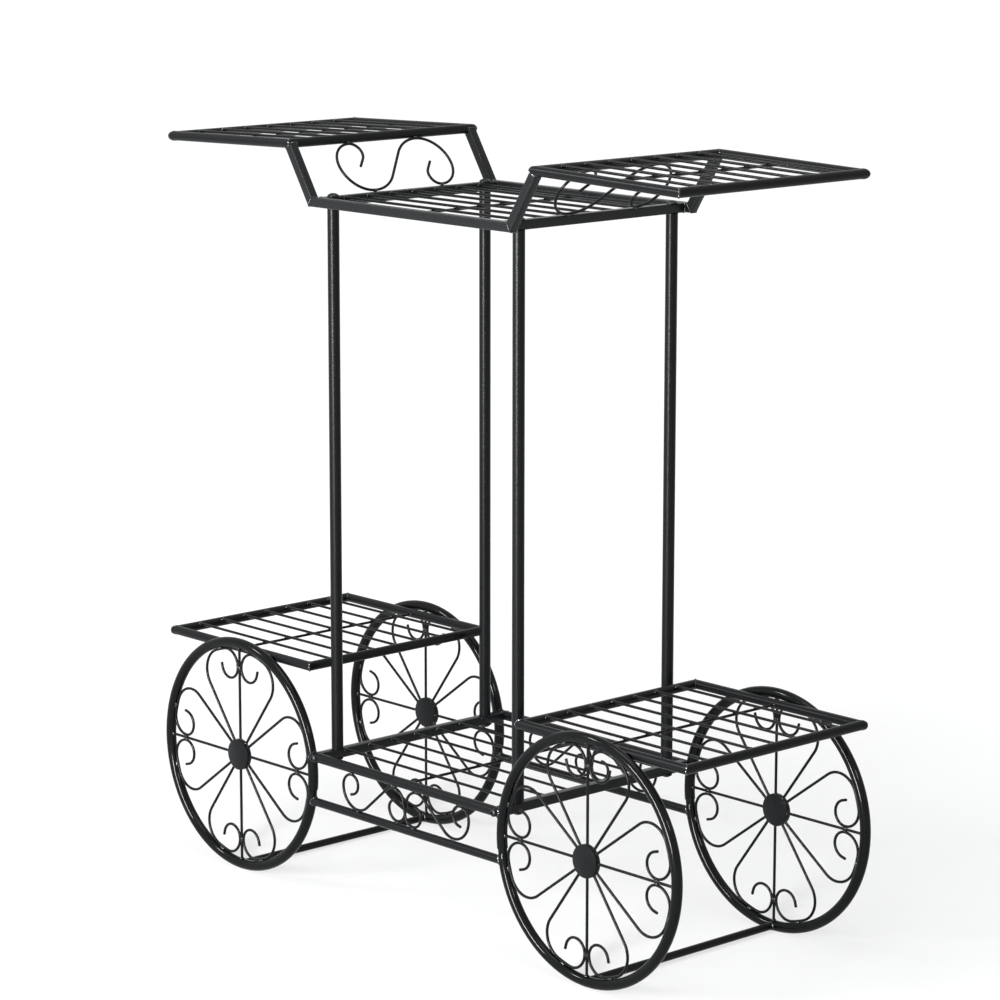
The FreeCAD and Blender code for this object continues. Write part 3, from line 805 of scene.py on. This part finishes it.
scrollSizes = {"hookRadius": 10.5, "sideRadius": 23.0, "hookX": 83.3, "slope": 40.0,
               "crownRadius": 16.0, "dropSlope": 80.0, "tailRadius": 12.5, "tipRadius": 9.0,
               "tipTurn": 100.0, "hookTurn": 165.0, "hookTip": 4.0}
wingScrollSizes = {"crownY": 44.0, "crownRadius": 42.0, "sideRadius": 32.0, "curlRadius": 12.0,
                   "curlTurn": 131.0, "tip": 12.0}
# how far the centre of a scroll's weld lies from the wire's centre: towards the rail and
# out of the scroll's plane, and how much the weld leans back from the rail
scrollWeld = {"toRail": 1.2, "toWingRail": 1.1, "out": 1.2, "lean": 0.7}


# One bent wire, with a mirror image beside it if asked
def scrollTree():
    tree, source = startTree("scrollWires", {"Wire Diameter": "Float", "Twin": "Bool",
                                             "Twin Shift": "Vector"})
    wire = wireFromSeed(tree, source, 14)
    pair = withTwin(tree, wire, (-1, 1, 1), source["Twin Shift"])
    chosen = addNode(tree, "GeometryNodeSwitch", {"Switch": source["Twin"], "False": wire, "True": pair},
                     input_type="GEOMETRY")
    return endTree(tree, chosen.outputs[0], source)


def panelScrollPath():
    wire, gap, sizes = wireSizes["diameter"], wireSizes["gap"], scrollSizes
    low = hubZ - railSizes["lowerUnderHub"] + (railSizes["lowerTube"] + wire) / 2 + gap
    high = upperRailZ - (railSizes["upperTube"] + wire) / 2 - gap
    height = high - low
    hook, side, crown, tail = (sizes[part + "Radius"] for part in ("hook", "side", "crown", "tail"))
    lead = math.radians(180 - sizes["hookTurn"])
    start = (-sizes["hookX"] + hook * math.sin(lead) - sizes["hookTip"] * math.cos(lead),
             high - hook * (1 + math.cos(lead)) - sizes["hookTip"] * math.sin(lead))
    slope, drop = math.radians(sizes["slope"]), math.radians(sizes["dropSlope"])
    climb = height - (side + crown) * (1 - math.cos(slope))
    fall = height - (crown + tail) * (1 - math.cos(drop))
    moves = [(0, sizes["hookTip"]), (hook, sizes["hookTurn"]), (height - side, 90),
             (side, 90 + sizes["slope"]), (0, climb / math.sin(slope)),
             (crown, -sizes["slope"] - sizes["dropSlope"]), (0, fall / math.sin(drop)),
             (tail, sizes["dropSlope"] + 90), (sizes["tipRadius"], sizes["tipTurn"])]
    return tracePath(start, math.degrees(lead), moves), low, high


scrolls = scrollTree()
panelPoints, panelLow, panelHigh = panelScrollPath()
panelLow, panelHigh = panelLow - scrollWeld["toRail"], panelHigh + scrollWeld["toRail"]
offset = (wireSizes["diameter"] + wireSizes["gap"]) / 2
hookEnd = -40                # the hook and the bottom bend lie to the left of this x
crownX = max((p for p in panelPoints if p[0] > hookEnd), key=lambda p: p[1])[0]
tailX = min((p for p in panelPoints if p[0] > 0), key=lambda p: p[1])[0]
bottomX = min((p for p in panelPoints if p[0] < hookEnd), key=lambda p: p[1])[0]
for depth, sideY in depths:
    y = sideY * wheelSizes["centreY"]
    growWire("scrolls_" + depth, "_wire", panelPoints,
             lambda x, z, y=y: (x * mm, (y - offset) * mm, z * mm), scrolls,
             {"Twin": True, "Twin Shift": (0, 2 * offset * mm, 0)})
    for mirror, shift in ((1, -offset), (-1, offset)):
        for x, z, outZ in ((-scrollSizes["hookX"], panelHigh, -1), (bottomX, panelLow, 1),
                           (crownX, panelHigh, -1), (tailX, panelLow, 1)):
            for face in (-1, 1):
                addWeld("scroll", (mirror * x, y + shift + face * scrollWeld["out"], z),
                        (0, face, outZ * scrollWeld["lean"]), (1, 0, 0))

# a wing scroll lies in the slope from the top deck's side rail to the wing's inner rail
foot = Vector((postSizes["x"], 0, topSizes["z"]))
rise = wingInner - foot
lean = rise.normalized()
lowEnd = (squareHalf + wireSizes["diameter"] / 2 + wireSizes["gap"]) / lean.z
highEnd = rise.length - roundHalf - wireSizes["diameter"] / 2 - wireSizes["gap"]
halfHeight, middle = (highEnd - lowEnd) / 2, (highEnd + lowEnd) / 2
crownY, crownRadius = wingScrollSizes["crownY"], wingScrollSizes["crownRadius"]
below = crownRadius - halfHeight
span = math.hypot(crownY, below)
climbAngle = math.degrees(math.asin(crownRadius / span) - math.atan2(below, crownY))
sideRadius = 2 * halfHeight - wingScrollSizes["sideRadius"]
outer = tracePath((0, 0), climbAngle, [
    (0, math.sqrt(span ** 2 - crownRadius ** 2)), (crownRadius, -climbAngle),
    (wingScrollSizes["sideRadius"], -90), (sideRadius, -90),
    (wingScrollSizes["curlRadius"], -wingScrollSizes["curlTurn"]), (0, wingScrollSizes["tip"])])
# the S is the same from both ends, so its first half is its second half turned round
wholeScroll = [(-u, -v) for u, v in outer[:0:-1]] + outer[1:]
lowY = crownY + wingScrollSizes["sideRadius"] - sideRadius
weldHeight = halfHeight + scrollWeld["toWingRail"]


# A place on the slope in mm, at y and at a distance t from the middle of the slope
def onSlope(sideX, y, t):
    spot = foot + lean * (middle + t)
    return Vector((sideX * spot.x, y, spot.z))


for side, sideX in sides:
    growWire("wing_scroll_" + side, "_wire", wholeScroll,
             lambda y, t, sideX=sideX: onSlope(sideX, y, t) * mm, scrolls, {"Twin": False})
    across = Vector((sideX * lean.z, 0, -lean.x))
    up = Vector((sideX * lean.x, 0, lean.z))
    for y, t, out in ((crownY, weldHeight, -1), (lowY, -weldHeight, 1),
                      (-lowY, weldHeight, -1), (-crownY, -weldHeight, 1)):
        for face in (-1, 1):
            addWeld("scroll", onSlope(sideX, y, t) + across * face * scrollWeld["out"],
                    across * face + up * out * scrollWeld["lean"], (0, 1, 0))
print("scrolls made")


screwSizes = {"head": 12.0, "height": 3.4, "edge": 1.0, "shank": 6.0, "length": 24.0,
              "key": 4.0, "keyDepth": 1.8, "seat": 0.0}
# the seat reaches down into the curve of the round rail
railScrewSizes = {"head": 8.0, "height": 2.8, "edge": 1.0, "shank": 5.0, "length": 22.0,
                  "key": 3.0, "keyDepth": 1.5, "seat": 1.9}
headFinish = {
    "segments": 36,
    "domeSteps": 5,
    "footRound": 0.2,        # rounding at the foot of the head's side
    "sideRound": 0.15,       # and at its top
    "domeShort": 0.1,
    "mouth": 0.62,           # radius of the dome's inner end, as a share of the key
    "mouthDrop": 0.05,
    "socketTaper": 0.97,
}


# A button head with its hexagon socket, drawn upright with the head's underside at 0
def screwMesh(sizes):
    finish, seat = headFinish, sizes["seat"]
    head, shank, top = sizes["head"] / 2, sizes["shank"] / 2, sizes["height"]
    rise = top - sizes["edge"]
    cap = (head ** 2 + rise ** 2) / (2 * rise)
    rounds = [(shank, -sizes["length"]), (shank, -seat), (head - finish["footRound"], -seat),
              (head, finish["footRound"] - seat), (head, sizes["edge"] - finish["sideRound"])]
    for k in range(finish["domeSteps"] + 1):
        share = k / finish["domeSteps"]
        r = (head - finish["domeShort"]) * (1 - share) + sizes["key"] * finish["mouth"] * share
        rounds.append((r, top - cap + math.sqrt(cap ** 2 - r ** 2)))
    points = []
    for k in range(finish["segments"]):
        angle = 2 * math.pi * k / finish["segments"]
        flat = (angle + math.pi / 6) % (math.pi / 3) - math.pi / 6
        corner = sizes["key"] / 2 / math.cos(flat)
        column = rounds + [(corner, rounds[-1][1] - finish["mouthDrop"]),
                           (corner * finish["socketTaper"], top - sizes["keyDepth"])]
        points += [(r * math.cos(angle) * mm, r * math.sin(angle) * mm, z * mm) for r, z in column]
    return newMesh("screw", points, faces=turnedFaces(len(rounds) + 2, finish["segments"]))


# The same screw at the four corners of a rectangle, each turned about its own corner
def screwTree():
    tree, source = startTree("screws", {"Spacing X": "Float", "Spacing Y": "Float",
                                        "Height": "Float", "Tilt": "Float"})
    grid = addNode(tree, "GeometryNodeMeshGrid", {
        "Size X": source["Spacing X"], "Size Y": source["Spacing Y"], "Vertices X": 2, "Vertices Y": 2})
    lift = addNode(tree, "ShaderNodeCombineXYZ", {"Z": source["Height"]}).outputs[0]
    corners = addNode(tree, "GeometryNodeTransform", {
        "Geometry": grid.outputs[0], "Translation": lift}).outputs[0]
    where = addNode(tree, "GeometryNodeInputPosition").outputs[0]
    y = addNode(tree, "ShaderNodeSeparateXYZ", {0: where}).outputs["Y"]
    turn = compute(tree, "MULTIPLY", compute(tree, "GREATER_THAN", y, 0.0), math.pi)
    angles = addNode(tree, "ShaderNodeCombineXYZ", {"X": source["Tilt"], "Z": turn}).outputs[0]
    copies = addNode(tree, "GeometryNodeInstanceOnPoints", {
        "Points": corners, "Instance": source["Geometry"], "Rotation": angles})
    return endTree(tree, copies.outputs[0], source)


screwPattern = screwTree()
railScrewY = wheelSizes["centreY"] + railSizes["upperTube"] / 2
for node, sizes, y, height, tilt in (
        ("top_screws", screwSizes, postSizes["y"], topSizes["z"] + squareHalf, 0.0),
        ("foot_screws", screwSizes, postSizes["y"], upperRailZ - squareHalf, math.pi),
        ("rail_screws", railScrewSizes, railScrewY, upperRailZ, math.pi / 2)):
    growPiece(node + "_steel", screwMesh(sizes), screwPattern, "blackOxideSteel", [node], {
        "Spacing X": 2 * postSizes["x"] * mm, "Spacing Y": 2 * y * mm, "Height": height * mm,
        "Tilt": tilt})
print("screws made")


# The seam where a bar ends on the rim's tube: a rail along X at a height over the hub,
# or with no height the tie bar along Y at the foot of the rim
def rimSaddle(centre, sideX, sideY, tube, bead, height=None, points=40, outside=0.1):
    ring = []
    for k in range(points):
        angle = 2 * math.pi * k / points
        p, q = (tube / 2 + outside) * math.cos(angle), (tube / 2 + outside) * math.sin(angle)
        across = q if height is None else p
        depth = math.sqrt(max(0.0, (wheelSizes["tube"] / 2) ** 2 - across ** 2))
        if height is None:
            ring.append(centre + Vector((p, -sideY * depth, q - rimRadius)))
        else:
            x = math.sqrt(rimRadius ** 2 - (height + q) ** 2)
            ring.append(centre + Vector((-sideX * (x + depth), p, height + q)))
    addRing(ring, bead)


# where the wires of a wheel meet the rim, each other and the hub, and what else meets the rim
for place, sideX, sideY in wheelPlaces:
    centre = wheelCentre(sideX, sideY) / mm
    for quarter in range(wheelSizes["spokes"]):
        def ray(angle, base=quarter * math.pi / 2):
            return Vector((math.cos(base + angle), 0, math.sin(base + angle)))

        def onWheel(radius, angle, y):
            return centre + ray(angle) * radius + Vector((0, y, 0))

        for face in (-1, 1):
            out = Vector((0, face, 0))
            for side in (-1, 1):
                a = side * touchAngle
                addWeld("petalOnRim", onWheel(rimInside - 0.4, a, face * 1.5), out - ray(a) * 0.6,
                        ray(a + math.pi / 2))
                kiss = side * math.atan2(wireSizes["diameter"] / 2, kissRadius)
                addWeld("petalOnSpoke", onWheel(kissRadius, kiss, face * 1.0), out, ray(0))
            addWeld("spokeOnRim", onWheel(rimInside - 0.3, 0, face * 1.4), out - ray(0),
                    ray(math.pi / 2))
        for a in (0, launchAngle, -launchAngle):
            addWeld("hub", onWheel(hubRadius + 0.2, a, 0), ray(a), (0, 1, 0))
    # the side deck's rails touch the rim at two places
    deckZ = framedDecks["side_deck"]["z"]
    spread = math.sqrt(rimRadius ** 2 - (deckZ - hubZ) ** 2)
    y = centre.y - sideY * wheelSizes["tube"] / 2
    for x in (-spread, spread):
        for up in (-1, 1):
            addWeld("deckOnRim", (centre.x + x, y, deckZ + up * 2.2),
                    (0.2, -sideY * 0.1, up), (1, 0, 0))
    for tube, height in (("upperTube", railSizes["upperOverHub"]),
                         ("lowerTube", -railSizes["lowerUnderHub"])):
        rimSaddle(centre, sideX, sideY, railSizes[tube], saddleBeads["rail"], height)
    rimSaddle(centre, sideX, sideY, railSizes["tieTube"], saddleBeads["tie"])


# Weld spots: a small dome at each point, turned and stretched by its attributes, a little uneven
def spotTree():
    tree, source = startTree("weldSpots", {"Unevenness": "Float", "Lumps": "Float"})
    dome = addNode(tree, "GeometryNodeMeshIcoSphere", {"Radius": 1.0, "Subdivisions": 2}).outputs[0]
    turn, size = (addNode(tree, "GeometryNodeInputNamedAttribute", {"Name": name},
                          data_type="FLOAT_VECTOR").outputs["Attribute"] for name in ("turn", "size"))
    copies = addNode(tree, "GeometryNodeInstanceOnPoints", {
        "Points": source["Geometry"], "Instance": dome, "Rotation": turn, "Scale": size}).outputs[0]
    real = addNode(tree, "GeometryNodeRealizeInstances", {0: copies}).outputs[0]
    lumps = addNode(tree, "ShaderNodeTexNoise", {"Scale": source["Lumps"], "Detail": 1.0})
    centred = addNode(tree, "ShaderNodeVectorMath", {0: lumps.outputs["Color"], 1: (0.5, 0.5, 0.5)},
                      operation="SUBTRACT").outputs[0]
    push = addNode(tree, "ShaderNodeVectorMath", {0: centred, "Scale": source["Unevenness"]},
                   operation="SCALE").outputs[0]
    moved = addNode(tree, "GeometryNodeSetPosition", {"Geometry": real, "Offset": push}).outputs[0]
    return endTree(tree, moved, source)


# Weld seams: a rippled bead along each closed line
def seamTree():
    tree, source = startTree("weldSeams", {"Bead Radius": "Float", "Step": "Float",
                                           "Ripple Pitch": "Float", "Ripple": "Float"})
    even = addNode(tree, "GeometryNodeResampleCurve", {
        0: curveFromSeed(tree, source), "Length": source["Step"]}, mode="LENGTH")
    along = addNode(tree, "GeometryNodeSplineParameter").outputs["Length"]
    cycles = compute(tree, "DIVIDE", along, source["Ripple Pitch"])
    wave = compute(tree, "SINE", compute(tree, "MULTIPLY", cycles, 2 * math.pi))
    share = compute(tree, "MULTIPLY_ADD", wave, source["Ripple"], 1.0)
    bead = roundAlong(tree, even.outputs[0], source["Bead Radius"], 8, share, False)
    return endTree(tree, bead, source)


def spotSeed():
    mesh = newMesh("seed", [point * mm for point, *rest in weldSpots])
    turn = mesh.attributes.new("turn", "FLOAT_VECTOR", "POINT")
    size = mesh.attributes.new("size", "FLOAT_VECTOR", "POINT")
    for k, (point, outward, along, sizes) in enumerate(weldSpots):
        along = (along - outward * along.dot(outward)).normalized()
        basis = Matrix((along, outward.cross(along), outward)).transposed()
        turn.data[k].vector = basis.to_euler()
        size.data[k].vector = Vector(sizes) * mm
    return mesh


beadFinish = {
    "unevenness": 0.5,
    "lumps": 900.0,          # scale of the noise, per metre
    "step": 0.55,
    "ripplePitch": 1.6,
    "ripple": 0.25,          # share of the bead's radius
}
growPiece("weld_spots", spotSeed(), spotTree(), "glossyPowderCoatWeld", [],
          {"Unevenness": beadFinish["unevenness"] * mm, "Lumps": beadFinish["lumps"]})
seams = seamTree()
for bead in sorted({bead for ring, bead in weldRings}):
    points, edges = [], []
    for ring in [ring for ring, size in weldRings if size == bead]:
        base, count = len(points), len(ring)
        points += [p * mm for p in ring]
        edges += [(base + i, base + (i + 1) % count) for i in range(count)]
    growPiece("weld_seams_" + str(round(bead * 100)), newMesh("seed", points, edges), seams,
              "glossyPowderCoatWeld", [], {
                  "Bead Radius": bead * mm, "Step": beadFinish["step"] * mm,
                  "Ripple Pitch": beadFinish["ripplePitch"] * mm, "Ripple": beadFinish["ripple"]})
print("welds made:", len(weldSpots), "spots and", len(weldRings), "seams")


# 1 for what the camera sees, also as a reflection, and 0 for the light that falls on things
def seenByCamera(tree):
    path = addNode(tree, "ShaderNodeLightPath").outputs
    return compute(tree, "MAXIMUM", path["Is Camera Ray"], path["Is Glossy Ray"])


floorSizes = {
    "half": 40,              # metres, like the two distances from the stand below
    "colour": "#898989",
    "fadeStart": 0.4,
    "fadeEnd": 1.6,
    "glowNear": 0.66,
    "glowFar": 0.96,
}


# A pale matt floor that looks white to the camera and keeps the stand's soft shadow
def floorMaterial():
    material, tree, place = startMaterial("paleMattFloor")
    matt = addNode(tree, "ShaderNodeBsdfDiffuse", {"Color": hexToLinear(floorSizes["colour"])})
    # away from the stand, where the lamps fade, the floor makes up for their light
    away = addNode(tree, "ShaderNodeVectorMath", {0: place}, operation="LENGTH")
    fade = addNode(tree, "ShaderNodeMapRange", {
        "Value": away.outputs["Value"], "From Min": floorSizes["fadeStart"],
        "From Max": floorSizes["fadeEnd"], "To Min": floorSizes["glowNear"],
        "To Max": floorSizes["glowFar"]})
    glow = addNode(tree, "ShaderNodeEmission", {
        "Color": (1, 1, 1, 1), "Strength": fade.outputs["Result"]})
    both = addNode(tree, "ShaderNodeAddShader", {0: matt.outputs[0], 1: glow.outputs[0]})
    shown = addNode(tree, "ShaderNodeMixShader", {
        0: seenByCamera(tree), 1: matt.outputs[0], 2: both.outputs[0]})
    addNode(tree, "ShaderNodeOutputMaterial", {"Surface": shown.outputs[0]})
    return material


far = floorSizes["half"]
floorMesh = newMesh("floor", [(-far, -far, 0), (far, -far, 0), (far, far, 0), (-far, far, 0)],
                    faces=[(0, 1, 2, 3)])
floor = bpy.data.objects.new("floor", floorMesh)
bpy.context.scene.collection.objects.link(floor)
floorMesh.materials.append(floorMaterial())

# colour and strength of the light from all round, and of what the camera sees of it
roomLight = {"Color": (0.9, 0.95, 1.0, 1), "Strength": 0.35}
roomSeen = {"Color": (1, 1, 1, 1), "Strength": 1.0}
world = bpy.data.worlds.new("studio")
bpy.context.scene.world = world
world.use_nodes = True
tree = world.node_tree
tree.nodes.clear()
room, white = (addNode(tree, "ShaderNodeBackground", look) for look in (roomLight, roomSeen))
mixed = addNode(tree, "ShaderNodeMixShader", {
    0: seenByCamera(tree), 1: room.outputs[0], 2: white.outputs[0]})
addNode(tree, "ShaderNodeOutputWorld", {"Surface": mixed.outputs[0]})

lampTarget = Vector((0, 0, 0.35))
lamps = {
    # name: place in metres, width and height in metres, turn, power in watts
    "softboxLeft": ((-2.0, -2.2, 2.2), 0.35, 0.35, 0, 30),
    "softboxRight": ((2.6, -0.4, 1.6), 0.35, 0.35, 0, 12),
    "softboxTop": ((0.1, -0.2, 1.8), 0.8, 0.8, 0, 9),
    # a long slanting lamp, for the thin bright lines that run along the rims
    "stripFront": ((0.2, -2.5, 0.7), 1.9, 0.3, -34.5, 200),
}


# Turned so that it looks along a direction, and then rolled about it
def lookAlong(direction, roll):
    turned = direction.to_track_quat("-Z", "Y")
    return (turned @ Matrix.Rotation(math.radians(roll), 3, "Z").to_quaternion()).to_euler()


for name, (place, width, height, turn, power) in lamps.items():
    light = bpy.data.lights.new(name, "AREA")
    light.energy = power
    light.shape = "RECTANGLE"
    light.size, light.size_y = width, height
    lamp = bpy.data.objects.new(name, light)
    lamp.location = place
    lamp.rotation_euler = lookAlong(lampTarget - Vector(place), turn)
    lamp.visible_camera = False
    bpy.context.scene.collection.objects.link(lamp)

cameraSizes = {
    "target": (0.0126, -0.0128, 0.4348),    # metres, like the distance and the far clip
    "azimuth": 47.43,        # round from the front towards +X
    "elevation": 11.07,
    "roll": 0.05,
    "distance": 3.7487,
    "lens": 130.36,
    "sensorWidth": 36,
    "farClip": 50,
}
azimuth, elevation = math.radians(cameraSizes["azimuth"]), math.radians(cameraSizes["elevation"])
back = Vector((math.sin(azimuth) * math.cos(elevation), -math.cos(azimuth) * math.cos(elevation),
               math.sin(elevation)))
eye = bpy.data.cameras.new("camera")
eye.lens = cameraSizes["lens"]
eye.sensor_width = cameraSizes["sensorWidth"]
eye.clip_end = cameraSizes["farClip"]
camera = bpy.data.objects.new("camera", eye)
bpy.context.scene.collection.objects.link(camera)
camera.rotation_euler = lookAlong(-back, cameraSizes["roll"])
camera.location = Vector(cameraSizes["target"]) + back * cameraSizes["distance"]
bpy.context.scene.camera = camera
bpy.context.scene.view_settings.view_transform = "Standard"
print("floor, light and camera set")
